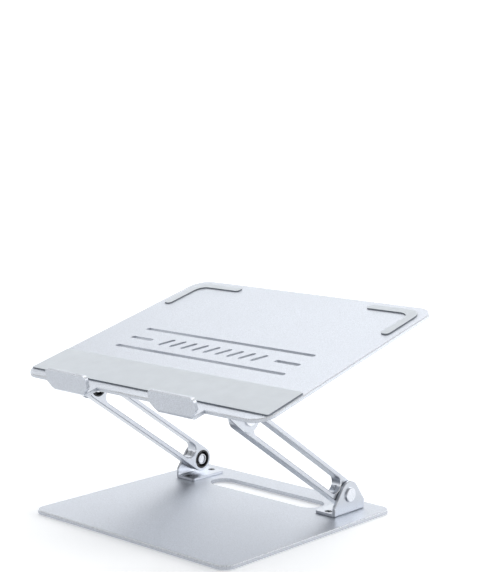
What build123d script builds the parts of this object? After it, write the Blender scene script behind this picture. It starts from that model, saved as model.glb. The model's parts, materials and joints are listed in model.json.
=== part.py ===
from build123d import *
import math
import os

# Folding laptop stand. A flat base plate carries two parallel arms on friction hinges, and the arms
# carry a tilting tray with two bent-up hooks at its front edge. Both arms swing together about the
# lower pins, and the tray tilts about the upper pins.
#
# Frame: millimetres, +X to the stand's right, +Y to its rear, +Z up. The origin is on the surface
# that the feet stand on, under the middle of the whole stand.

# Base plate and feet
BASE_WIDTH = 210.0
BASE_DEPTH = 198.0
BASE_THICKNESS = 3.2
BASE_CORNER_RADIUS = 10.0
FOOT_HEIGHT = 0.8
FOOT_RADIUS = 8.0
FOOT_INSET = 18.0
BASE_TOP = FOOT_HEIGHT + BASE_THICKNESS
GRIP_SLOT_LENGTH = 118.0
GRIP_SLOT_WIDTH = 24.0
GRIP_SLOT_FROM_CENTRE = 64.0
PLATE_CHAMFER = 0.6

# Hinge brackets: a flange screwed to a plate and an ear outboard of the arm. All four are alike.
SHEET = 2.5
EAR_OUTER_X = 87.5
EAR_INNER_X = EAR_OUTER_X - SHEET
FLANGE_INNER_X = 67.0
BRACKET_LENGTH = 38.0
EAR_SHOULDER = 7.7
EAR_TOP_RADIUS = 11.0
PIVOT_HEIGHT = 15.0
SCREW_X = 77.5
SCREW_SPACING = 28.8

# Arms: flat bars with round ends and an obround window
ARM_LENGTH = 145.0
ARM_ANGLE = 34.4
ARM_RADIUS = 10.25
ARM_THICKNESS = 9.8
WINDOW_RADIUS = 6.7
WINDOW_END = 11.1
HINGE_GAP = 0.5
ARM_OUTER_X = EAR_INNER_X - HINGE_GAP
ARM_INNER_X = ARM_OUTER_X - ARM_THICKNESS
LOWER_PIVOT_FROM_BASE_CENTRE = 65.2

# Hinge pieces, all coaxial with their pin
PIN_RADIUS = 4.0
PIN_TIP_RADIUS = 3.25
PIN_HEAD_RADIUS = 5.8
PIN_HEAD_HEIGHT = 1.5
RUNNING_GAP = 0.05
FACE_GAP = 0.02
BUSHING_RADIUS = 5.0
BUSHING_FLANGE_RADIUS = 7.0
CAVITY_RADIUS = 8.05
CAVITY_DEPTH = 6.0
RING_RADIUS = 8.0
RING_BORE_RADIUS = 6.6
RING_PROUD = 0.3
WASHER_RADIUS = 6.3
WASHER_THICKNESS = 1.0
NUT_RADIUS = 4.6
NUT_THICKNESS = 3.0
GRUB_RADIUS = 2.0
GRUB_LENGTH = 2.4
GRUB_SLOT_WIDTH = 0.9
GRUB_SLOT_DEPTH = 0.8

# Tray, in its own coordinates: across, back from the front edge, and up from the top face
TRAY_WIDTH = 258.0
TRAY_DEPTH = 215.5
TRAY_THICKNESS = 3.0
TRAY_TILT = 15.0
TRAY_FRONT_RADIUS = 16.0
TRAY_REAR_RADIUS = 16.0
PIVOT_FROM_FRONT = 30.75
PIVOT_BELOW_TOP = TRAY_THICKNESS + PIVOT_HEIGHT
VENT_WIDTH = 4.0
VENT_HALF_SPAN = 91.0
LONG_VENT_ROWS = (71.0, 107.0)
SHORT_VENT_ROW = 89.0
SHORT_VENT_LENGTH = 25.0
SLANTED_VENTS = 9
SLANTED_VENT_PITCH = 12.5
SLANTED_VENT_LENGTH = 15.0
SLANTED_VENT_ANGLE = 60.0

# Hooks, bent up from the tray's own sheet
HOOK_CENTRE = 56.8
HOOK_HALF_WIDTH = 23.3
HOOK_ROOT_HALF_WIDTH = 17.2
HOOK_REACH = 13.9
HOOK_HEIGHT = 16.0
HOOK_SHOULDER = 6.0
HOOK_CORNER_RADIUS = 4.0
HOOK_BEND_RADIUS = 2.0
HOOK_EDGE_RADIUS = 0.8
HOOK_INTO_TRAY = 3.0

# Silicone pads
PAD_THICKNESS = 1.2
FRONT_PAD_START = 9.2
FRONT_PAD_DEPTH = 39.5
FRONT_PAD_WIDTH = 253.6
REAR_PAD_WIDTH = 7.8
REAR_PAD_SIDE_INSET = 7.3
REAR_PAD_REAR_INSET = 7.8
REAR_PAD_SIDE_LENGTH = 49.2
REAR_PAD_REAR_LENGTH = 51.7
REAR_PAD_CORNER_RADIUS = 13.0
REAR_PAD_INNER_RADIUS = 9.0
REAR_PAD_END_RADIUS = 3.0
HOOK_PAD_THICKNESS = 1.0
HOOK_PAD_HALF_WIDTH = 21.0
HOOK_PAD_BOTTOM = 2.2
HOOK_PAD_TOP = 14.4

# Screws: countersunk, with a hexagon socket
SCREW_RADIUS = 1.5
SCREW_HOLE_RADIUS = 1.55
SCREW_HEAD_RADIUS = 3.1
SCREW_HEAD_HEIGHT = 1.7
SCREW_RECESS = 0.3
SCREW_SOCKET = 2.0
SCREW_GRIP = 2.2

SIDES = {"left": -1, "right": 1}


def across_tray(dv, dw):
    """How far in Y and Z a point stands from the upper pivot, from its tray distances."""
    tilt = math.radians(TRAY_TILT)
    return dv * math.cos(tilt) - dw * math.sin(tilt), dv * math.sin(tilt) + dw * math.cos(tilt)


# The stand's middle in Y lies half way between the hooks' front and the tray's rear edge.
hook_front = across_tray(-HOOK_REACH - PIVOT_FROM_FRONT, HOOK_HEIGHT + PIVOT_BELOW_TOP)[0]
tray_rear = across_tray(TRAY_DEPTH - PIVOT_FROM_FRONT, PIVOT_BELOW_TOP)[0]
ARM_RUN = ARM_LENGTH * math.cos(math.radians(ARM_ANGLE))
ARM_RISE = ARM_LENGTH * math.sin(math.radians(ARM_ANGLE))
UPPER_PIVOT = (-(hook_front + tray_rear) / 2, BASE_TOP + PIVOT_HEIGHT + ARM_RISE)
LOWER_PIVOT = (UPPER_PIVOT[0] + ARM_RUN, BASE_TOP + PIVOT_HEIGHT)
BASE_CENTRE_Y = LOWER_PIVOT[0] - LOWER_PIVOT_FROM_BASE_CENTRE

# Places: on the base plate's top under the lower pivot, on the tray's underside over the upper one,
# on the tray's front edge, and along the arm from the lower pivot to the upper one.
BASE_SEAT = Pos(0, LOWER_PIVOT[0], BASE_TOP)
TRAY_PIVOT = Pos(0, *UPPER_PIVOT) * Rot(TRAY_TILT, 0, 0)
TRAY_SEAT = TRAY_PIVOT * Pos(0, 0, PIVOT_HEIGHT) * Rot(180, 0, 0)
TRAY_FRONT = TRAY_PIVOT * Pos(0, -PIVOT_FROM_FRONT, PIVOT_BELOW_TOP)
ARM_AXIS = Pos(0, *LOWER_PIVOT) * Rot(-ARM_ANGLE, 0, 0)


def mirrored(shape, side):
    """The right-hand shape as it is, or its mirror image for the left."""
    return shape if side > 0 else mirror(shape, about=Plane.YZ)


def disc(radius, x_start, x_end, bore=0.0):
    """A round piece about the X axis, from x_start to x_end."""
    place = Pos((x_start + x_end) / 2, 0, 0) * Rot(0, 90, 0)
    solid = place * Cylinder(radius, abs(x_end - x_start))
    if bore:
        solid -= place * Cylinder(bore, abs(x_end - x_start) + 1)
    return solid


def slot_cut(length, width, depth):
    """A cutter for an obround slot along X, centred on the origin."""
    return extrude(SlotOverall(length, width), depth, both=True)


def rounded_plate(width, depth, thickness, front_radius, rear_radius):
    """A plate with its top at Z = 0, from Y = 0 back to depth, with its top outline chamfered."""
    outline = Pos(0, depth / 2) * Rectangle(width, depth)
    front = outline.vertices().filter_by(lambda v: v.Y < depth / 2)
    outline = fillet(front, front_radius)
    rear = outline.vertices().filter_by(lambda v: v.Y > depth - front_radius)
    outline = fillet([v for v in rear if abs(abs(v.X) - width / 2) < 1e-3], rear_radius)
    plate = extrude(outline, -thickness)
    plate = chamfer(plate.faces().sort_by(Axis.Z)[-1].edges(), PLATE_CHAMFER)
    return chamfer(plate.faces().sort_by(Axis.Z)[0].edges(), PLATE_CHAMFER / 2)


def screw_places():
    """Where a bracket's two screws stand on its seat."""
    return [Pos(SCREW_X, y, 0) for y in (-SCREW_SPACING / 2, SCREW_SPACING / 2)]


def screw_holes():
    """Blind holes in a plate under one bracket's screws, seen from the bracket's seat."""
    return [place * Pos(0, 0, -SCREW_GRIP / 2) * Cylinder(SCREW_HOLE_RADIUS, SCREW_GRIP + 0.4)
            for place in screw_places()]


def make_base_plate():
    plate = rounded_plate(BASE_WIDTH, BASE_DEPTH, BASE_THICKNESS, BASE_CORNER_RADIUS,
                          BASE_CORNER_RADIUS)
    plate = Pos(0, BASE_CENTRE_Y - BASE_DEPTH / 2, BASE_TOP) * plate
    grip = slot_cut(GRIP_SLOT_LENGTH, GRIP_SLOT_WIDTH, BASE_TOP + 1)
    plate -= Pos(0, BASE_CENTRE_Y + GRIP_SLOT_FROM_CENTRE, BASE_TOP) * grip
    for side in SIDES.values():
        for hole in screw_holes():
            plate -= mirrored(BASE_SEAT * hole, side)
    return plate


def make_base_feet():
    feet = []
    for x in (-BASE_WIDTH / 2 + FOOT_INSET, BASE_WIDTH / 2 - FOOT_INSET):
        for y in (-BASE_DEPTH / 2 + FOOT_INSET, BASE_DEPTH / 2 - FOOT_INSET):
            foot = Cylinder(FOOT_RADIUS, FOOT_HEIGHT)
            foot = chamfer(foot.faces().sort_by(Axis.Z)[0].edges(), FOOT_HEIGHT / 4)
            feet.append(Pos(x, BASE_CENTRE_Y + y, FOOT_HEIGHT / 2) * foot)
    return Compound(feet)


def make_bracket():
    """The right-hand bracket on its seat: flange on Z = 0 and pivot at Y = 0, Z = PIVOT_HEIGHT."""
    half = BRACKET_LENGTH / 2
    # The ear's sloping flanks run from the shoulders to touch the round top.
    reach = math.hypot(half, EAR_SHOULDER - PIVOT_HEIGHT)
    flank = math.atan2(EAR_SHOULDER - PIVOT_HEIGHT, half) + math.acos(EAR_TOP_RADIUS / reach)
    touch = (EAR_TOP_RADIUS * math.cos(flank), PIVOT_HEIGHT + EAR_TOP_RADIUS * math.sin(flank))
    top = (0, PIVOT_HEIGHT + EAR_TOP_RADIUS)
    right = Polyline((0, 0), (half, 0), (half, EAR_SHOULDER), touch)
    round_top = ThreePointArc(touch, top, (-touch[0], touch[1]))
    left = Polyline((-touch[0], touch[1]), (-half, EAR_SHOULDER), (-half, 0), (0, 0))
    face = make_face([*right.edges(), round_top, *left.edges()])
    shoulders = face.vertices().filter_by(lambda v: abs(v.Y - EAR_SHOULDER) < 1e-6)
    face = fillet(shoulders, 2.0)
    ear = extrude(Plane.YZ * face, SHEET)
    ear = Pos(EAR_INNER_X, 0, 0) * ear
    flange_width = EAR_INNER_X - FLANGE_INNER_X + SHEET
    flange = Pos(FLANGE_INNER_X + flange_width / 2, 0, SHEET / 2) * Box(flange_width, BRACKET_LENGTH, SHEET)
    inner_corners = flange.edges().filter_by(Axis.Z).sort_by(Axis.X)[:2]
    flange = fillet(inner_corners, 2.0)
    bracket = ear + flange
    outer_bend = bracket.edges().filter_by(Axis.Y).filter_by(
        lambda e: abs(e.center().Z) < 1e-6 and e.center().X > EAR_INNER_X)
    bracket = fillet(outer_bend, 1.5)
    inner_bend = bracket.edges().filter_by(Axis.Y).filter_by(
        lambda e: abs(e.center().Z - SHEET) < 1e-6 and abs(e.center().X - EAR_INNER_X) < 1e-6)
    bracket = fillet(inner_bend, 0.4)
    ear_rim = bracket.faces().filter_by(Axis.X).sort_by(Axis.X)[-1].edges()
    bracket = chamfer(ear_rim.filter_by(lambda e: e.center().Z > 2.0), 0.4)
    bracket -= Pos(0, 0, PIVOT_HEIGHT) * disc(PIN_RADIUS + 0.03, EAR_INNER_X - 1, EAR_OUTER_X + 1)
    for place in screw_places():
        cone_bottom = SHEET - SCREW_RECESS - SCREW_HEAD_HEIGHT
        bracket -= place * Pos(0, 0, SHEET / 2) * Cylinder(SCREW_HOLE_RADIUS, SHEET + 1)
        bracket -= place * Pos(0, 0, cone_bottom + SCREW_HEAD_HEIGHT / 2) * Cone(
            SCREW_HOLE_RADIUS, SCREW_HEAD_RADIUS + 0.05, SCREW_HEAD_HEIGHT)
        bracket -= place * Pos(0, 0, SHEET) * Cylinder(SCREW_HEAD_RADIUS + 0.05, 2 * SCREW_RECESS)
    return bracket


def make_screw():
    """A countersunk screw standing in a bracket's flange, its axis on Z."""
    top = SHEET - SCREW_RECESS
    head = Pos(0, 0, top - SCREW_HEAD_HEIGHT / 2) * Cone(SCREW_RADIUS, SCREW_HEAD_RADIUS,
                                                       SCREW_HEAD_HEIGHT)
    shank_length = top + SCREW_GRIP - 0.1
    shank = Pos(0, 0, top - 0.2 - shank_length / 2) * Cylinder(SCREW_RADIUS, shank_length)
    screw = head + shank
    socket = extrude(RegularPolygon(SCREW_SOCKET / 2 * 1.155, 6), 1.2)
    return screw - Pos(0, 0, top - 1.0) * socket


def make_screws(seat):
    """The four screws of the two brackets on one seat."""
    right = [seat * place * make_screw() for place in screw_places()]
    return Compound(right + [mirrored(screw, -1) for screw in right])


def make_pin():
    """A hinge pin along X, from its head outside the ear to its tip inside the arm's cavity."""
    nut_face = ARM_INNER_X
    nut_seat = nut_face + NUT_THICKNESS
    head = disc(PIN_HEAD_RADIUS, EAR_OUTER_X, EAR_OUTER_X + PIN_HEAD_HEIGHT)
    head = chamfer(head.faces().sort_by(Axis.X)[-1].edges(), 0.4)
    shaft = disc(PIN_RADIUS, nut_seat, EAR_OUTER_X)
    tip = disc(PIN_TIP_RADIUS, nut_face + 0.7, nut_seat)
    return head + shaft + tip


def make_nut():
    """The round nut on a pin's tip, flush with the arm's inner face."""
    nut = disc(NUT_RADIUS, ARM_INNER_X, ARM_INNER_X + NUT_THICKNESS, bore=PIN_TIP_RADIUS)
    rims = nut.faces().sort_by(Axis.X)[0].edges()
    return chamfer(rims, 0.3)


def make_spring_washers():
    """One flat washer and two spring washers, stacked between the nut and the cavity's floor."""
    start = ARM_INNER_X + NUT_THICKNESS
    bore = PIN_RADIUS + 0.1
    flat = disc(WASHER_RADIUS, start, start + WASHER_THICKNESS, bore)
    first = disc(WASHER_RADIUS - 0.3, start + WASHER_THICKNESS, start + 2 * WASHER_THICKNESS, bore)
    second = disc(WASHER_RADIUS - 0.3, start + 2 * WASHER_THICKNESS,
                  ARM_INNER_X + CAVITY_DEPTH - FACE_GAP, bore)
    return Compound([flat, first, second])


def make_ring():
    """The nylon dust ring that fills the cavity's mouth around the washers."""
    floor = ARM_INNER_X + CAVITY_DEPTH
    ring = disc(RING_RADIUS, ARM_INNER_X - RING_PROUD, floor, bore=RING_BORE_RADIUS)
    rims = ring.faces().sort_by(Axis.X)[0].edges()
    return chamfer(rims, 0.25)


def make_bushing():
    """The flanged bushing between a pin and its arm, with its flange against the ear."""
    floor = ARM_INNER_X + CAVITY_DEPTH
    bore = PIN_RADIUS + RUNNING_GAP
    sleeve = disc(BUSHING_RADIUS, floor + FACE_GAP, ARM_OUTER_X + FACE_GAP, bore)
    flange = disc(BUSHING_FLANGE_RADIUS, ARM_OUTER_X + FACE_GAP, EAR_INNER_X - FACE_GAP, bore)
    return sleeve + flange


def grub_places():
    """The two grub screws' places, in the walls that close the window's ends."""
    x = ARM_INNER_X + ARM_THICKNESS / 2
    near = Pos(x, -WINDOW_END, 0) * Rot(90, 0, 0)
    far = Pos(x, -ARM_LENGTH + WINDOW_END, 0) * Rot(-90, 0, 0)
    return [near, far]


def make_arm():
    """The right-hand arm, with its lower pivot on the X axis and its upper one towards -Y."""
    length = ARM_LENGTH + 2 * ARM_RADIUS
    middle = Pos(-ARM_LENGTH / 2, 0)
    bar = extrude(Plane.YZ * (middle * SlotOverall(length, 2 * ARM_RADIUS)), ARM_THICKNESS)
    bar = Pos(ARM_INNER_X, 0, 0) * bar
    window_length = ARM_LENGTH - 2 * WINDOW_END
    window = extrude(Plane.YZ * (middle * SlotOverall(window_length, 2 * WINDOW_RADIUS)), 200)
    bar -= window
    side_faces = bar.faces().filter_by(Axis.X)
    bar = chamfer(side_faces.edges(), 0.45)
    for y in (0, -ARM_LENGTH):
        bar -= Pos(0, y, 0) * disc(BUSHING_RADIUS + RUNNING_GAP, ARM_INNER_X - 1, ARM_OUTER_X + 1)
        bar -= Pos(0, y, 0) * disc(CAVITY_RADIUS, ARM_INNER_X - 1, ARM_INNER_X + CAVITY_DEPTH)
    for place in grub_places():
        bar -= place * Cylinder(GRUB_RADIUS + 0.02, 2 * GRUB_LENGTH + 0.1)
    return bar


def make_grub_screws():
    """The two slotted grub screws of the right-hand arm."""
    screws = []
    for place in grub_places():
        screw = Pos(0, 0, -GRUB_LENGTH / 2) * Cylinder(GRUB_RADIUS, GRUB_LENGTH)
        screw -= Box(GRUB_SLOT_WIDTH, 3 * GRUB_RADIUS, 2 * GRUB_SLOT_DEPTH)
        screws.append(place * screw)
    return Compound(screws)


def make_hook():
    """A hook centred on X = 0, in tray coordinates: an L-shaped strip with narrowed root."""
    outer = -HOOK_REACH
    inner = outer + TRAY_THICKNESS
    strip = Polyline((HOOK_INTO_TRAY, -TRAY_THICKNESS), (outer, -TRAY_THICKNESS), (outer, HOOK_HEIGHT),
                     (inner, HOOK_HEIGHT), (inner, 0), (HOOK_INTO_TRAY, 0), close=True)
    face = make_face(strip.edges())

    def corner(y, z):
        return face.vertices().filter_by(lambda v: abs(v.X - y) < 1e-6 and abs(v.Y - z) < 1e-6)

    face = fillet(corner(outer, -TRAY_THICKNESS), HOOK_BEND_RADIUS + TRAY_THICKNESS)
    face = fillet(corner(inner, 0), HOOK_BEND_RADIUS)
    face = fillet(corner(inner, HOOK_HEIGHT) + corner(outer, HOOK_HEIGHT), HOOK_EDGE_RADIUS)
    body = extrude(Plane.YZ * face, HOOK_HALF_WIDTH, both=True)
    half_outline = [(HOOK_ROOT_HALF_WIDTH, -TRAY_THICKNESS - 1), (HOOK_ROOT_HALF_WIDTH, 0),
                    (HOOK_HALF_WIDTH, HOOK_SHOULDER), (HOOK_HALF_WIDTH, HOOK_HEIGHT + 1)]
    other_half = [(-x, z) for x, z in reversed(half_outline)]
    outline = make_face(Polyline(*half_outline, *other_half, close=True).edges())
    soft = outline.vertices().filter_by(lambda v: -1 < v.Y < HOOK_SHOULDER + 1)
    outline = fillet(soft, 2.0)
    body &= extrude(Plane.XZ * outline, 2 * HOOK_REACH, both=True)
    # The lip's top corners are rounded by a block with two round upper edges.
    block = Pos(0, 0, HOOK_HEIGHT / 2) * Box(2 * HOOK_HALF_WIDTH, 4 * HOOK_REACH, HOOK_HEIGHT)
    upper = block.edges().filter_by(Axis.Y).filter_by(lambda e: e.center().Z > HOOK_HEIGHT / 2)
    block = fillet(upper, HOOK_CORNER_RADIUS)
    below = Pos(0, 0, -TRAY_THICKNESS) * Box(2 * HOOK_HALF_WIDTH, 4 * HOOK_REACH, 2 * TRAY_THICKNESS)
    return body & (block + below)


def make_tray_plate():
    tray = rounded_plate(TRAY_WIDTH, TRAY_DEPTH, TRAY_THICKNESS, TRAY_FRONT_RADIUS, TRAY_REAR_RADIUS)
    depth = TRAY_THICKNESS + 1
    for row in LONG_VENT_ROWS:
        tray -= Pos(0, row, 0) * slot_cut(2 * VENT_HALF_SPAN, VENT_WIDTH, depth)
    short_x = VENT_HALF_SPAN - SHORT_VENT_LENGTH / 2
    for x in (-short_x, short_x):
        tray -= Pos(x, SHORT_VENT_ROW, 0) * slot_cut(SHORT_VENT_LENGTH, VENT_WIDTH, depth)
    for index in range(SLANTED_VENTS):
        x = (index - (SLANTED_VENTS - 1) / 2) * SLANTED_VENT_PITCH
        slanted = Rot(0, 0, SLANTED_VENT_ANGLE) * slot_cut(SLANTED_VENT_LENGTH, VENT_WIDTH, depth)
        tray -= Pos(x, SHORT_VENT_ROW, 0) * slanted
    for x in (-HOOK_CENTRE, HOOK_CENTRE):
        tray += Pos(x, 0, 0) * make_hook()
    tray = TRAY_FRONT * tray
    for side in SIDES.values():
        for hole in screw_holes():
            tray -= mirrored(TRAY_SEAT * hole, side)
    return tray


def make_front_pad():
    middle = Pos(0, FRONT_PAD_START + FRONT_PAD_DEPTH / 2)
    outline = fillet((middle * Rectangle(FRONT_PAD_WIDTH, FRONT_PAD_DEPTH)).vertices(), 1.5)
    return TRAY_FRONT * extrude(outline, PAD_THICKNESS)


def make_rear_pad():
    """The right-hand L-shaped pad near the tray's rear corner."""
    outer_x = TRAY_WIDTH / 2 - REAR_PAD_SIDE_INSET
    outer_y = TRAY_DEPTH - REAR_PAD_REAR_INSET
    inner_x = outer_x - REAR_PAD_WIDTH
    inner_y = outer_y - REAR_PAD_WIDTH
    end_x = outer_x - REAR_PAD_REAR_LENGTH
    end_y = outer_y - REAR_PAD_SIDE_LENGTH
    points = [(outer_x, end_y), (outer_x, outer_y), (end_x, outer_y), (end_x, inner_y),
              (inner_x, inner_y), (inner_x, end_y)]
    outline = make_face(Polyline(*points, close=True).edges())

    def corner(x, y):
        return outline.vertices().filter_by(lambda v: abs(v.X - x) < 1e-6 and abs(v.Y - y) < 1e-6)

    ends = corner(*points[0]) + corner(*points[5]) + corner(*points[2]) + corner(*points[3])
    outline = fillet(ends, REAR_PAD_END_RADIUS)
    outline = fillet(corner(*points[1]), REAR_PAD_CORNER_RADIUS)
    outline = fillet(corner(*points[4]), REAR_PAD_INNER_RADIUS)
    return TRAY_FRONT * extrude(outline, PAD_THICKNESS)


def make_hook_pad():
    """The pad on the right-hand hook's inner face."""
    height = HOOK_PAD_TOP - HOOK_PAD_BOTTOM
    back = -HOOK_REACH + TRAY_THICKNESS
    pad = Box(2 * HOOK_PAD_HALF_WIDTH, HOOK_PAD_THICKNESS, height)
    pad = fillet(pad.edges().filter_by(Axis.Y), 2.5)
    middle = Pos(HOOK_CENTRE, back + HOOK_PAD_THICKNESS / 2, (HOOK_PAD_TOP + HOOK_PAD_BOTTOM) / 2)
    return TRAY_FRONT * middle * pad


def make_parts():
    """Every piece of the stand at its place, by its node's name."""
    parts = {
        "base_plate": make_base_plate(),
        "base_feet": make_base_feet(),
        "base_bracket_screws": make_screws(BASE_SEAT),
        "tray_bracket_screws": make_screws(TRAY_SEAT),
        "tray_plate": make_tray_plate(),
        "front_pad": make_front_pad(),
    }
    lower_end = Pos(0, *LOWER_PIVOT)
    upper_end = Pos(0, *UPPER_PIVOT) * Rot(TRAY_TILT, 0, 0)
    bracket = make_bracket()
    hinge_pieces = {"pin": make_pin(), "nut": make_nut(), "spring_washers": make_spring_washers(),
                    "ring": make_ring(), "bushing": make_bushing()}
    for side_name, side in SIDES.items():
        parts[f"base_bracket_{side_name}"] = mirrored(BASE_SEAT * bracket, side)
        # A tray bracket is a base bracket of the other side, turned upside down.
        parts[f"tray_bracket_{side_name}"] = mirrored(TRAY_SEAT * bracket, side)
        parts[f"arm_{side_name}"] = mirrored(ARM_AXIS * make_arm(), side)
        parts[f"grub_screws_{side_name}"] = mirrored(ARM_AXIS * make_grub_screws(), side)
        parts[f"rear_pad_{side_name}"] = mirrored(make_rear_pad(), side)
        parts[f"hook_pad_{side_name}"] = mirrored(make_hook_pad(), side)
        for piece_name, piece in hinge_pieces.items():
            parts[f"lower_{piece_name}_{side_name}"] = mirrored(lower_end * piece, side)
            parts[f"upper_{piece_name}_{side_name}"] = mirrored(upper_end * piece, side)
    return parts


os.makedirs("parts", exist_ok=True)
for node_name, shape in make_parts().items():
    export_step(shape, f"parts/{node_name}.step")
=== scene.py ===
"""Finishes for a folding laptop stand: bead-blasted aluminium, silicone pads and friction hinges."""

import json
import math

import bmesh
import bpy
from bpy.props import FloatProperty, FloatVectorProperty, IntProperty, PointerProperty
from mathutils import Matrix, Vector


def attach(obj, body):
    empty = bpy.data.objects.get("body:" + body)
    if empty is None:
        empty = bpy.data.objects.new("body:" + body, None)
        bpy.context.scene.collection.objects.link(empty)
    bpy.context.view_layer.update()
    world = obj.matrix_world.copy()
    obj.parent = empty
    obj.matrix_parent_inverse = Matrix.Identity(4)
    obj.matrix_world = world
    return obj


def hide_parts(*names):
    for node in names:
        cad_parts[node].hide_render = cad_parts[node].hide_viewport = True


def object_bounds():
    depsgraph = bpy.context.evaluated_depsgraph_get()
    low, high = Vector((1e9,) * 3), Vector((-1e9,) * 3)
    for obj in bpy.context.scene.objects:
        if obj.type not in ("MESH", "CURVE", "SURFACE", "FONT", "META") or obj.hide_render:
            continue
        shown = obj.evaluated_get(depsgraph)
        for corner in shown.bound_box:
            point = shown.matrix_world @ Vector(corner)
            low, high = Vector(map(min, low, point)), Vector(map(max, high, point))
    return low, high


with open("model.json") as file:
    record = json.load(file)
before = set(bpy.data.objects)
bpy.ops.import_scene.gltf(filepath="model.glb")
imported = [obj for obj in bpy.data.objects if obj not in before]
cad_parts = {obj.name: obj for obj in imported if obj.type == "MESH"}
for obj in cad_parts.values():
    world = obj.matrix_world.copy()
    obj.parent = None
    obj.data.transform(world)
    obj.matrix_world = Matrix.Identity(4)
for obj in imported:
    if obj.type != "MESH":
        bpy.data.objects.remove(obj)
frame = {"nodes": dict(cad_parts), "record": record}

bl_info = {
    "name": "Laptop Stand Finishes",
    "version": (1, 0, 0),
    "blender": (4, 5, 0),
    "location": "View3D > Sidebar > Laptop Stand",
    "description": "Gives a folding aluminium laptop stand its finishes, pads, feet and studio",
    "category": "Object",
}

MM = 0.001
SIDES = ("left", "right")
ENDS = ("lower", "upper")
UP = Vector((0, 0, 1))
ACROSS = Vector((1, 0, 0))
CAD_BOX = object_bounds()

# Painted shade: a thin dark line round the rim of a nut's recess.
RECESS_SHADE_RADIUS = 3.5 * MM
RECESS_SHADE_WIDTH = 0.4 * MM
RECESS_SHADE_TONE = 0.12

# (squareness to the sheet, factor) pairs for the painted highlight on the chamfers. A chamfer stands
# at about 45 degrees, which is 0.71.
CHAMFER_STOPS = ((0, 0), (0.45, 0), (0.6, 1), (0.82, 1), (0.93, 0))
CHAMFER_POLISH = 0.14
# (squareness to the sheet, factor) pairs for the painted shade down a pad's flanks.
FLANK_SHADE_STOPS = ((0, 1), (0.25, 1), (0.55, 0))


def mount_normal(name):
    """The outward normal of one of the record's mounts, by its name."""
    mount = next(m for m in frame["record"]["mounts"] if m["name"] == name)
    return Vector(mount["axis"])


def joint_place(name):
    """Where one of the record's joints is, in metres."""
    joint = next(j for j in frame["record"]["behaviour"]["joints"] if j["name"] == name)
    return Vector(joint["pos_m"])


TRAY_UP = mount_normal("laptop_face")
TRAY_BACK = TRAY_UP.cross(-ACROSS)


def linear(hex_colour):
    """An sRGB hex colour, such as "#C8CDD6", as linear red, green and blue."""
    parts = [int(hex_colour[i:i + 2], 16) / 255 for i in (1, 3, 5)]
    return tuple(c / 12.92 if c <= 0.04045 else ((c + 0.055) / 1.055) ** 2.4 for c in parts)


# ---------------------------------------------------------------- what a user would change

def colour_property(name, description, hex_colour):
    return FloatVectorProperty(name=name, description=description, default=linear(hex_colour),
                               subtype="COLOR", size=3, min=0, max=1)


class StandFinish(bpy.types.PropertyGroup):
    """Colours and grain sizes of the stand's finishes."""

    aluminium: colour_property("Aluminium", "Clear anodised, bead-blasted aluminium", "#C2C6CD")
    # Painted highlight: the lighter colour that the chamfers of the plates, arms and brackets get.
    edge_highlight: colour_property("Painted edge highlight", "Painted highlight on the chamfer of an anodised sheet", "#EEF1F6")
    steel: colour_property("Steel", "Turned and polished pin steel", "#DDE0E6")
    dark_steel: colour_property("Dark steel", "Black oxide on screws", "#3A3D44")
    nylon: colour_property("Nylon", "Black moulded nylon", "#14161A")
    acetal: colour_property("Acetal", "Natural white acetal", "#DCDDDE")
    silicone: colour_property("Silicone", "Cool grey moulded silicone", "#E4EAF0")
    # Painted shade: the darker colour down the thin flanks of the silicone pads.
    silicone_flank_shade: colour_property("Silicone flank shade", "Shaded flank of a silicone pad", "#70767F")
    foot_rubber: colour_property("Foot rubber", "Dark grey rubber", "#4A4D52")
    blast_grain: FloatProperty(name="Blast grain", description="Size of one blasting mark as drawn",
                               default=0.7 * MM, min=0.05 * MM, max=5 * MM, unit="LENGTH")
    turning_pitch: FloatProperty(name="Turning pitch", description="Distance between turning marks",
                                 default=0.35 * MM, min=0.05 * MM, max=2 * MM, unit="LENGTH")


class StandPads(bpy.types.PropertyGroup):
    """Sizes of the soft pieces' rounded rims."""

    rim: FloatProperty(name="Rim", description="Radius of a silicone pad's moulded rim",
                       default=0.4 * MM, min=0.05 * MM, max=0.6 * MM, unit="LENGTH")
    rim_steps: IntProperty(name="Rim steps", description="Facets across a pad's rim",
                           default=4, min=1, max=8)
    foot_rim: FloatProperty(name="Foot rim", description="Radius of a rubber foot's rim",
                            default=0.35 * MM, min=0.05 * MM, max=0.6 * MM, unit="LENGTH")
    foot_ribs: IntProperty(name="Foot ribs", description="Grip rings moulded into a foot's face",
                           default=3, min=0, max=6)


class StandStage(bpy.types.PropertyGroup):
    """Camera, floor and lights."""

    azimuth: FloatProperty(name="Azimuth", description="Camera's turn round the stand from its front",
                           default=math.radians(41.78), subtype="ANGLE")
    elevation: FloatProperty(name="Elevation", description="How far the camera looks down",
                             default=math.radians(7.58), subtype="ANGLE")
    roll: FloatProperty(name="Roll", description="Camera's turn about its own axis",
                        default=math.radians(0.43), subtype="ANGLE")
    distance: FloatProperty(name="Distance", description="From the camera to the point it looks at",
                            default=1.1185, min=0.2, unit="LENGTH")
    look_at: FloatVectorProperty(name="Look at", description="From the stand's middle to that point",
                                 default=(0.0105, 0.0234, 0.0992), subtype="TRANSLATION", size=3)
    lens: FloatProperty(name="Lens", description="Focal length in millimetres for a 36 mm sensor",
                        default=88.38, min=10, max=300)
    floor: colour_property("Floor", "Plain pale floor", "#F8F9FA")
    floor_glow: FloatProperty(name="Floor glow", description="Light through the floor from below",
                              default=0.32, min=0, max=2)
    room: colour_property("Room", "Even light from all round", "#FFFFFF")
    room_light: FloatProperty(name="Room light", description="Strength of the even light",
                              default=0.52, min=0, max=5)


def finish_settings():
    return bpy.context.scene.stand_finish


# ---------------------------------------------------------------- material helpers

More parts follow.
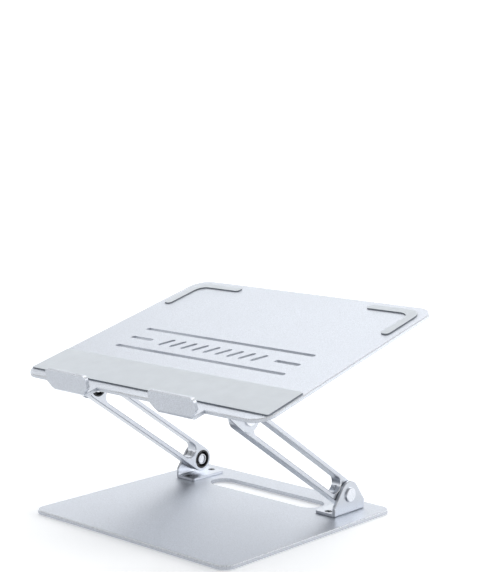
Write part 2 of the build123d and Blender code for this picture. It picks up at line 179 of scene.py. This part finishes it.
def add(tree, kind, inputs=None, **settings):
    """Adds one node to a tree with its settings, and sets or links its inputs."""
    made = tree.nodes.new(kind)
    for name, value in settings.items():
        setattr(made, name, value)
    for key, value in (inputs or {}).items():
        if isinstance(value, bpy.types.NodeSocket):
            tree.links.new(value, made.inputs[key])
        else:
            made.inputs[key].default_value = value
    return made


def start_material(name, **constants):
    """A new material with a Principled shader: constants are the shader's own sockets, by name."""
    material = bpy.data.materials.new(name)
    material.use_nodes = True
    tree = material.node_tree
    tree.nodes.clear()
    shader = add(tree, "ShaderNodeBsdfPrincipled",
                 {key.replace("_", " "): value for key, value in constants.items()})
    add(tree, "ShaderNodeOutputMaterial", {"Surface": shader.outputs["BSDF"]})
    return material, tree, shader


def object_noise(tree, size, detail=2.0, roughness=0.6):
    """Noise fixed to the object, with features of about that size in metres."""
    place = add(tree, "ShaderNodeTexCoord")
    noise = add(tree, "ShaderNodeTexNoise", {"Vector": place.outputs["Object"], "Scale": 1 / size,
                                             "Detail": detail, "Roughness": roughness})
    return noise.outputs["Fac"]


def remap(tree, value, low, high, from_low=0.3, from_high=0.7):
    """Spreads a noise value over the range from low to high."""
    return add(tree, "ShaderNodeMapRange", {"Value": value, "From Min": from_low,
                                            "From Max": from_high, "To Min": low,
                                            "To Max": high}).outputs["Result"]


def mix_colours(tree, factor, first, second):
    """A colour between two others, each a linear colour or a socket."""
    colours = [c if isinstance(c, bpy.types.NodeSocket) else (*c, 1) for c in (first, second)]
    # The mixing node's colour sockets have the same names as its number sockets, so go by place.
    mix = add(tree, "ShaderNodeMix", {0: factor, 6: colours[0], 7: colours[1]}, data_type="RGBA")
    return mix.outputs[2]


def facing(tree, axis, stops):
    """A factor from how square a surface is to an axis: stops are (squareness, factor) pairs."""
    normal = add(tree, "ShaderNodeTexCoord").outputs["Normal"]
    dot = add(tree, "ShaderNodeVectorMath", {0: normal, 1: axis}, operation="DOT_PRODUCT")
    square = add(tree, "ShaderNodeMath", {0: dot.outputs["Value"]}, operation="ABSOLUTE")
    ramp = add(tree, "ShaderNodeValToRGB", {"Fac": square.outputs["Value"]})
    elements = ramp.color_ramp.elements
    while len(elements) < len(stops):
        elements.new(0.5)
    for element, (position, factor) in zip(elements, stops):
        element.position = position
        element.color = (factor, factor, factor, 1)
    return ramp.outputs["Color"]


def bumped(tree, shader, height, distance, strength=1.0):
    """Gives a shader the relief of a height value, in metres from low to high."""
    bump = add(tree, "ShaderNodeBump", {"Height": height, "Distance": distance,
                                        "Strength": strength})
    tree.links.new(bump.outputs["Normal"], shader.inputs["Normal"])


def colour_between(tree, shader, value, first, second, **spread):
    """Gives a shader a base colour that a noise value varies between two linear colours."""
    factor = remap(tree, value, 0, 1, **spread)
    tree.links.new(mix_colours(tree, factor, first, second), shader.inputs["Base Color"])


def rough_between(tree, shader, value, smoothest, roughest):
    """Gives a shader a roughness that a noise value varies between two limits."""
    tree.links.new(remap(tree, value, smoothest, roughest), shader.inputs["Roughness"])


def toned(colour, tone, lift=0.0):
    """A linear colour made darker or lighter by a factor, and no brighter than white."""
    return tuple(min(1, tone * c + lift) for c in colour)


# ---------------------------------------------------------------- materials

def bead_blasted_aluminium(name, face_axis, tones, smoothest, roughest, relief):
    """Aluminium sheet, glass-bead blasted and clear anodised, with a painted highlight on its
    chamfers.

    Blasting gives the eye a fine even sparkle in a satin grey. The chamfers are smoother and carry a
    painted highlight, which draws a thin light line round each sheet. face_axis is square to the
    sheet.
    tones are the grain's darkest and lightest tone, smoothest and roughest are the limits of its
    roughness, and relief is its depth in metres.
    """
    look = finish_settings()
    material, tree, shader = start_material(name, Metallic=1.0)
    # Real blasting marks are about 0.1 mm wide. They are drawn coarser, so that they show.
    grain = object_noise(tree, look.blast_grain, detail=1.5)
    cloud = object_noise(tree, 60 * MM, detail=1.0)
    marks = [toned(look.aluminium, tone) for tone in tones]
    face = mix_colours(tree, remap(tree, grain, 0, 1), *marks)
    face = mix_colours(tree, remap(tree, cloud, 0, 0.35), face, toned(look.aluminium, 0.93))
    # Painted highlight: the chamfers get a lighter colour than the blasted faces.
    chamfer = facing(tree, face_axis, CHAMFER_STOPS)
    tree.links.new(mix_colours(tree, chamfer, face, tuple(look.edge_highlight)),
                   shader.inputs["Base Color"])
    satin = remap(tree, grain, smoothest, roughest)
    polish = add(tree, "ShaderNodeMath", {0: chamfer, 1: CHAMFER_POLISH}, operation="MULTIPLY")
    rough = add(tree, "ShaderNodeMath", {0: satin, 1: polish.outputs["Value"]}, operation="SUBTRACT")
    tree.links.new(rough.outputs["Value"], shader.inputs["Roughness"])
    bumped(tree, shader, grain, relief)
    return material


def turned_steel(name, axis_point, recess_shade_line=False):
    """Steel faced on a lathe: fine rings about an axis along X, which fan the light softly.

    The last argument draws a thin dark line of painted shade round the rim of a nut's recess.
    """
    look = finish_settings()
    material, tree, shader = start_material(name, Metallic=1.0)
    place = add(tree, "ShaderNodeTexCoord").outputs["Object"]
    arm = add(tree, "ShaderNodeVectorMath", {0: place, 1: axis_point}, operation="SUBTRACT")
    across = add(tree, "ShaderNodeVectorMath", {0: arm.outputs["Vector"], 1: (0, 1, 1)},
                 operation="MULTIPLY")
    radius = add(tree, "ShaderNodeVectorMath", {0: across.outputs["Vector"]}, operation="LENGTH")
    phase = add(tree, "ShaderNodeMath", {0: radius.outputs["Value"],
                                         1: 2 * math.pi / look.turning_pitch},
                operation="MULTIPLY")
    rings = add(tree, "ShaderNodeMath", {0: phase.outputs["Value"]}, operation="SINE")
    ring_height = rings.outputs["Value"]
    face = mix_colours(tree, remap(tree, ring_height, 0, 1, -1, 1), toned(look.steel, 0.92),
                       tuple(look.steel))
    if recess_shade_line:
        # Painted shade: a thin dark ring at the rim of the nut's recess.
        on_recess_shade = add(tree, "ShaderNodeMath", {0: radius.outputs["Value"], 1: RECESS_SHADE_RADIUS,
                                               2: RECESS_SHADE_WIDTH / 2}, operation="COMPARE")
        face = mix_colours(tree, on_recess_shade.outputs["Value"], face, toned(look.steel, RECESS_SHADE_TONE))
    tree.links.new(face, shader.inputs["Base Color"])
    rough_between(tree, shader, object_noise(tree, 2 * MM), 0.24, 0.36)
    bumped(tree, shader, ring_height, 0.004 * MM, 0.3)
    return material


def zinc_plated_steel(name):
    """Small screws in bright zinc plate: cool, lightly clouded and fairly smooth."""
    look = finish_settings()
    material, tree, shader = start_material(name, Metallic=1.0)
    cloud = object_noise(tree, 0.8 * MM, detail=3)
    colour_between(tree, shader, cloud, toned(look.steel, 0.8), tuple(look.steel))
    rough_between(tree, shader, cloud, 0.2, 0.36)
    return material


def spring_steel(name):
    """Phosphated spring steel: nearly black, so that the washers read as one with the ring."""
    look = finish_settings()
    material, tree, shader = start_material(name, Metallic=1.0)
    stain = object_noise(tree, 2 * MM, detail=3)
    colour_between(tree, shader, stain, toned(look.steel, 0.05), toned(look.steel, 0.11))
    rough_between(tree, shader, stain, 0.25, 0.4)
    return material


def black_oxide_steel(name):
    """Screw steel with black oxide: nearly black, with a faint oily gloss and worn grey spots."""
    look = finish_settings()
    material, tree, shader = start_material(name, Metallic=1.0)
    wear = object_noise(tree, 1.2 * MM, detail=3)
    colour_between(tree, shader, wear, tuple(look.dark_steel), toned(look.dark_steel, 2.2),
                   from_low=0.5, from_high=0.8)
    rough_between(tree, shader, wear, 0.3, 0.45)
    return material


def moulded_plastic(name, colour, ior):
    """Injection-moulded engineering plastic: an even colour under a soft spark-eroded texture."""
    material, tree, shader = start_material(name, IOR=ior)
    texture = object_noise(tree, 0.5 * MM, detail=2)
    colour_between(tree, shader, texture, tuple(colour), toned(colour, 1.25, lift=0.004))
    rough_between(tree, shader, texture, 0.38, 0.52)
    bumped(tree, shader, texture, 0.02 * MM, 0.4)
    return material


def moulded_silicone(name, face_axis):
    """Silicone sheet pressed in a matt mould: a soft dry grey, with painted shade down its thin
    flanks.
    """
    look = finish_settings()
    material, tree, shader = start_material(name, IOR=1.41, Specular_IOR_Level=0.35)
    bloom = object_noise(tree, 12 * MM, detail=3)
    skin = object_noise(tree, 0.6 * MM, detail=2)
    face = mix_colours(tree, remap(tree, bloom, 0, 1), toned(look.silicone, 0.95),
                       tuple(look.silicone))
    # Painted shade: the pad's flanks, square to its face, get a darker colour.
    flank = facing(tree, face_axis, FLANK_SHADE_STOPS)
    tree.links.new(mix_colours(tree, flank, face, tuple(look.silicone_flank_shade)),
                   shader.inputs["Base Color"])
    rough_between(tree, shader, skin, 0.52, 0.66)
    bumped(tree, shader, skin, 0.015 * MM, 0.5)
    return material


def foot_rubber(name):
    """Natural rubber feet: dark, dry and slightly dusty, with no gloss."""
    look = finish_settings()
    material, tree, shader = start_material(name, IOR=1.52, Specular_IOR_Level=0.3)
    dust = object_noise(tree, 3 * MM, detail=4)
    dusty = mix_colours(tree, remap(tree, dust, 0, 0.6), tuple(look.foot_rubber),
                        toned(look.foot_rubber, 1.5))
    tree.links.new(dusty, shader.inputs["Base Color"])
    rough_between(tree, shader, dust, 0.7, 0.85)
    bumped(tree, shader, dust, 0.02 * MM, 0.4)
    return material


# ---------------------------------------------------------------- piece helpers

def give(material, *node_names):
    """Puts a material into every slot of some CAD nodes."""
    for name in node_names:
        mesh = frame["nodes"][name].data
        if not mesh.materials:
            mesh.materials.append(material)
        for index in range(len(mesh.materials)):
            mesh.materials[index] = material


def paired(*patterns):
    """Node names for both sides, and for both ends where a pattern asks for them."""
    names = []
    for pattern in patterns:
        ends = ENDS if "{end}" in pattern else ("",)
        names += [pattern.format(side=side, end=end) for side in SIDES for end in ends]
    return names


def cut_grooves(shape, count, gap, width, depth):
    """Cuts concentric grooves into each downward face of a mesh, working inwards from its rim."""
    faces = [f for f in shape.faces if f.normal.z < -0.99]
    for _ in range(count):
        for thickness, sink in ((gap, 0), (width, -depth), (width, depth)):
            bmesh.ops.inset_individual(shape, faces=faces, thickness=thickness, depth=sink,
                                       use_even_offset=True)


def soft_copy(node_name, piece_name, rim, steps, material, body, grooves=None):
    """A moulded copy of a CAD solid with its sharp edges rounded, which stands for that solid."""
    mesh = frame["nodes"][node_name].data.copy()
    shape = bmesh.new()
    shape.from_mesh(mesh)
    bmesh.ops.remove_doubles(shape, verts=shape.verts, dist=0.001 * MM)
    bmesh.ops.dissolve_limit(shape, angle_limit=math.radians(1), verts=shape.verts, edges=shape.edges)
    sharp = [e for e in shape.edges if e.is_manifold and e.calc_face_angle() > math.radians(50)]
    bmesh.ops.bevel(shape, geom=sharp, offset=rim, segments=steps, profile=0.5, affect="EDGES",
                    clamp_overlap=True)
    if grooves:
        cut_grooves(shape, **grooves)
    for face in shape.faces:
        face.smooth = True
    shape.to_mesh(mesh)
    shape.free()
    mesh.materials.clear()
    mesh.materials.append(material)
    piece = bpy.data.objects.new(piece_name, mesh)
    bpy.context.scene.collection.objects.link(piece)
    weighted = piece.modifiers.new("weighted_normals", "WEIGHTED_NORMAL")
    weighted.keep_sharp = True
    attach(piece, body)
    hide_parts(node_name)
    return piece


# ---------------------------------------------------------------- operators

class STAND_OT_plates(bpy.types.Operator):
    """Gives the base plate and the tray their blasted aluminium"""

    bl_idname = "stand.plates"
    bl_label = "Plates"

    def execute(self, context):
        for node, face_axis in (("base_plate", UP), ("tray_plate", TRAY_UP)):
            give(bead_blasted_aluminium(f"blasted_aluminium_{node}", face_axis,
                                        tones=(0.77, 1.16), smoothest=0.38, roughest=0.5,
                                        relief=0.08 * MM), node)
        return {"FINISHED"}


class STAND_OT_arms(bpy.types.Operator):
    """Gives the arms and the hinge brackets their blasted aluminium"""

    bl_idname = "stand.arms"
    bl_label = "Arms and brackets"

    def execute(self, context):
        metal = bead_blasted_aluminium("blasted_aluminium_arms", ACROSS, tones=(0.92, 1.06),
                                       smoothest=0.27, roughest=0.34, relief=0.02 * MM)
        give(metal, *paired("arm_{side}", "base_bracket_{side}", "tray_bracket_{side}"))
        return {"FINISHED"}


class STAND_OT_hinges(bpy.types.Operator):
    """Gives the hinge pieces and the screws their finishes"""

    bl_idname = "stand.hinges"
    bl_label = "Hinges and screws"

    def execute(self, context):
        look = finish_settings()
        pivots = {"lower": joint_place("arm_fold"), "upper": joint_place("tray_tilt")}
        for end, pivot in pivots.items():
            give(turned_steel(f"turned_steel_{end}_pins", pivot),
                 *paired(f"{end}_pin_{{side}}"))
            give(turned_steel(f"turned_steel_{end}_nuts", pivot, recess_shade_line=True),
                 *paired(f"{end}_nut_{{side}}"))
        give(zinc_plated_steel("zinc_plated_steel"), *paired("grub_screws_{side}"))
        give(spring_steel("spring_washer_steel"), *paired("{end}_spring_washers_{side}"))
        give(moulded_plastic("black_moulded_nylon", look.nylon, 1.53), *paired("{end}_ring_{side}"))
        give(moulded_plastic("white_moulded_acetal", look.acetal, 1.48),
             *paired("{end}_bushing_{side}"))
        give(black_oxide_steel("black_oxide_screw_steel"), "base_bracket_screws",
             "tray_bracket_screws")
        return {"FINISHED"}


class STAND_OT_pads(bpy.types.Operator):
    """Makes the silicone pads with moulded rims"""

    bl_idname = "stand.pads"
    bl_label = "Silicone pads"

    def execute(self, context):
        sizes = context.scene.stand_pads
        flat = moulded_silicone("moulded_silicone_tray", TRAY_UP)
        upright = moulded_silicone("moulded_silicone_hooks", TRAY_BACK)
        for name in ("front_pad", *paired("rear_pad_{side}")):
            soft_copy(name, f"{name}_silicone", sizes.rim, sizes.rim_steps, flat, "tray")
        for name in paired("hook_pad_{side}"):
            soft_copy(name, f"{name}_silicone", sizes.rim, sizes.rim_steps, upright, "tray")
        return {"FINISHED"}


class STAND_OT_feet(bpy.types.Operator):
    """Makes the rubber feet with rounded rims"""

    bl_idname = "stand.feet"
    bl_label = "Rubber feet"

    def execute(self, context):
        sizes = context.scene.stand_pads
        grooves = {"count": sizes.foot_ribs, "gap": 1.2 * MM, "width": 0.3 * MM,
                   "depth": 0.15 * MM}
        soft_copy("base_feet", "base_feet_rubber", sizes.foot_rim, sizes.rim_steps,
                  foot_rubber("dry_foot_rubber"), "base", grooves)
        return {"FINISHED"}


class STAND_OT_stage(bpy.types.Operator):
    """Makes the camera, the pale floor and the soft studio light"""

    bl_idname = "stand.stage"
    bl_label = "Stage"

    def execute(self, context):
        scene = context.scene
        settings = scene.stand_stage
        low, high = CAD_BOX
        middle = (low + high) / 2
        self.make_camera(scene, settings, middle)
        self.make_floor(scene, settings)
        self.make_lights(scene, settings, middle)
        scene.view_settings.view_transform = "Standard"
        return {"FINISHED"}

    def make_camera(self, scene, settings, middle):
        turn, drop = settings.azimuth, settings.elevation
        back = Vector((math.sin(turn) * math.cos(drop), -math.cos(turn) * math.cos(drop),
                       math.sin(drop)))
        right = Vector((math.cos(turn), math.sin(turn), 0))
        upward = back.cross(right)
        rolled_right = right * math.cos(settings.roll) + upward * math.sin(settings.roll)
        rolled_up = upward * math.cos(settings.roll) - right * math.sin(settings.roll)
        data = bpy.data.cameras.new("camera")
        data.lens = settings.lens
        data.sensor_width = 36
        data.clip_start = 0.05
        data.clip_end = 50
        camera = bpy.data.objects.new("camera", data)
        turned = Matrix((rolled_right, rolled_up, back)).transposed().to_4x4()
        place = middle + Vector(settings.look_at) + back * settings.distance
        camera.matrix_world = Matrix.Translation(place) @ turned
        scene.collection.objects.link(camera)
        scene.camera = camera

    def make_floor(self, scene, settings):
        """A floor that sweeps up into a wall behind the stand, square to the camera."""
        half_width = 6.0
        near = -5.0
        far = 2.6
        bend = 1.6
        bend_steps = 24
        wall_height = 3.5
        profile = [(near, 0), (far, 0)]
        for step in range(1, bend_steps + 1):
            angle = math.pi / 2 * step / bend_steps
            profile.append((far + bend * math.sin(angle), bend * (1 - math.cos(angle))))
        profile.append((far + bend, bend + wall_height))
        mesh = bpy.data.meshes.new("floor")
        points = [(side * half_width, y, z) for y, z in profile for side in (-1, 1)]
        faces = [(2 * i, 2 * i + 1, 2 * i + 3, 2 * i + 2) for i in range(len(profile) - 1)]
        mesh.from_pydata(points, [], faces)
        for polygon in mesh.polygons:
            polygon.use_smooth = True
        floor = bpy.data.objects.new("floor", mesh)
        floor.rotation_euler.z = settings.azimuth
        # An acrylic sweep lit from below as well, so that the stand's shadow stays faint.
        material, tree, shader = start_material(
            "lit_acrylic_floor", Roughness=0.9, Specular_IOR_Level=0.1,
            Emission_Color=(*settings.floor, 1), Emission_Strength=settings.floor_glow)
        mottle = object_noise(tree, 0.4, detail=1)
        colour_between(tree, shader, mottle, toned(settings.floor, 0.985), tuple(settings.floor))
        mesh.materials.append(material)
        scene.collection.objects.link(floor)

    def make_lights(self, scene, settings, middle):
        world = bpy.data.worlds.new("room")
        world.use_nodes = True
        background = world.node_tree.nodes["Background"]
        background.inputs["Color"].default_value = (*settings.room, 1)
        background.inputs["Strength"].default_value = settings.room_light
        scene.world = world
        # Name, place from the stand's middle in metres, the side it shines from, width, height,
        # watts. The first three shine from where they stand, at the stand, and the last at the wall.
        softboxes = (
            ("top_softbox", (-0.5, 1.0, 2.0), (-0.5, 1.0, 2.0), 2.6, 1.6, 18.5),
            ("right_softbox", (1.7, 1.5, 0.55), (1.7, 1.5, 0.55), 1.8, 1.2, 24),
            ("left_fill", (-1.7, -1.9, 0.3), (-1.7, -1.9, 0.3), 1.6, 0.6, 5),
            ("wall_light", (-0.6, 1.6, 2.6), (1.0, -1.2, 1.0), 3.0, 1.0, 40),
        )
        for name, offset, shines_from, width, height, watts in softboxes:
            data = bpy.data.lights.new(name, "AREA")
            data.shape = "RECTANGLE"
            data.size = width
            data.size_y = height
            data.energy = watts
            light = bpy.data.objects.new(name, data)
            light.location = middle + Vector(offset)
            light.rotation_euler = Vector(shines_from).to_track_quat("Z", "Y").to_euler()
            scene.collection.objects.link(light)


class STAND_PT_panel(bpy.types.Panel):
    """Lists the stand's sizes, colours and steps"""

    bl_idname = "STAND_PT_panel"
    bl_label = "Laptop Stand"
    bl_space_type = "VIEW_3D"
    bl_region_type = "UI"
    bl_category = "Laptop Stand"

    def draw(self, context):
        scene = context.scene
        for group in (scene.stand_finish, scene.stand_pads, scene.stand_stage):
            box = self.layout.box()
            for name in group.bl_rna.properties.keys():
                if name not in ("rna_type", "name"):
                    box.prop(group, name)
        for operator in STEPS:
            self.layout.operator(operator.bl_idname)


GROUPS = (StandFinish, StandPads, StandStage)
STEPS = (STAND_OT_plates, STAND_OT_arms, STAND_OT_hinges, STAND_OT_pads, STAND_OT_feet,
         STAND_OT_stage)
CLASSES = (*GROUPS, *STEPS, STAND_PT_panel)


def register():
    for item in CLASSES:
        bpy.utils.register_class(item)
    bpy.types.Scene.stand_finish = PointerProperty(type=StandFinish)
    bpy.types.Scene.stand_pads = PointerProperty(type=StandPads)
    bpy.types.Scene.stand_stage = PointerProperty(type=StandStage)


def unregister():
    del bpy.types.Scene.stand_stage
    del bpy.types.Scene.stand_pads
    del bpy.types.Scene.stand_finish
    for item in reversed(CLASSES):
        bpy.utils.unregister_class(item)


def main():
    register()
    bpy.ops.stand.plates()
    bpy.ops.stand.arms()
    bpy.ops.stand.hinges()
    bpy.ops.stand.pads()
    bpy.ops.stand.feet()
    bpy.ops.stand.stage()


if __name__ == "__main__":
    main()
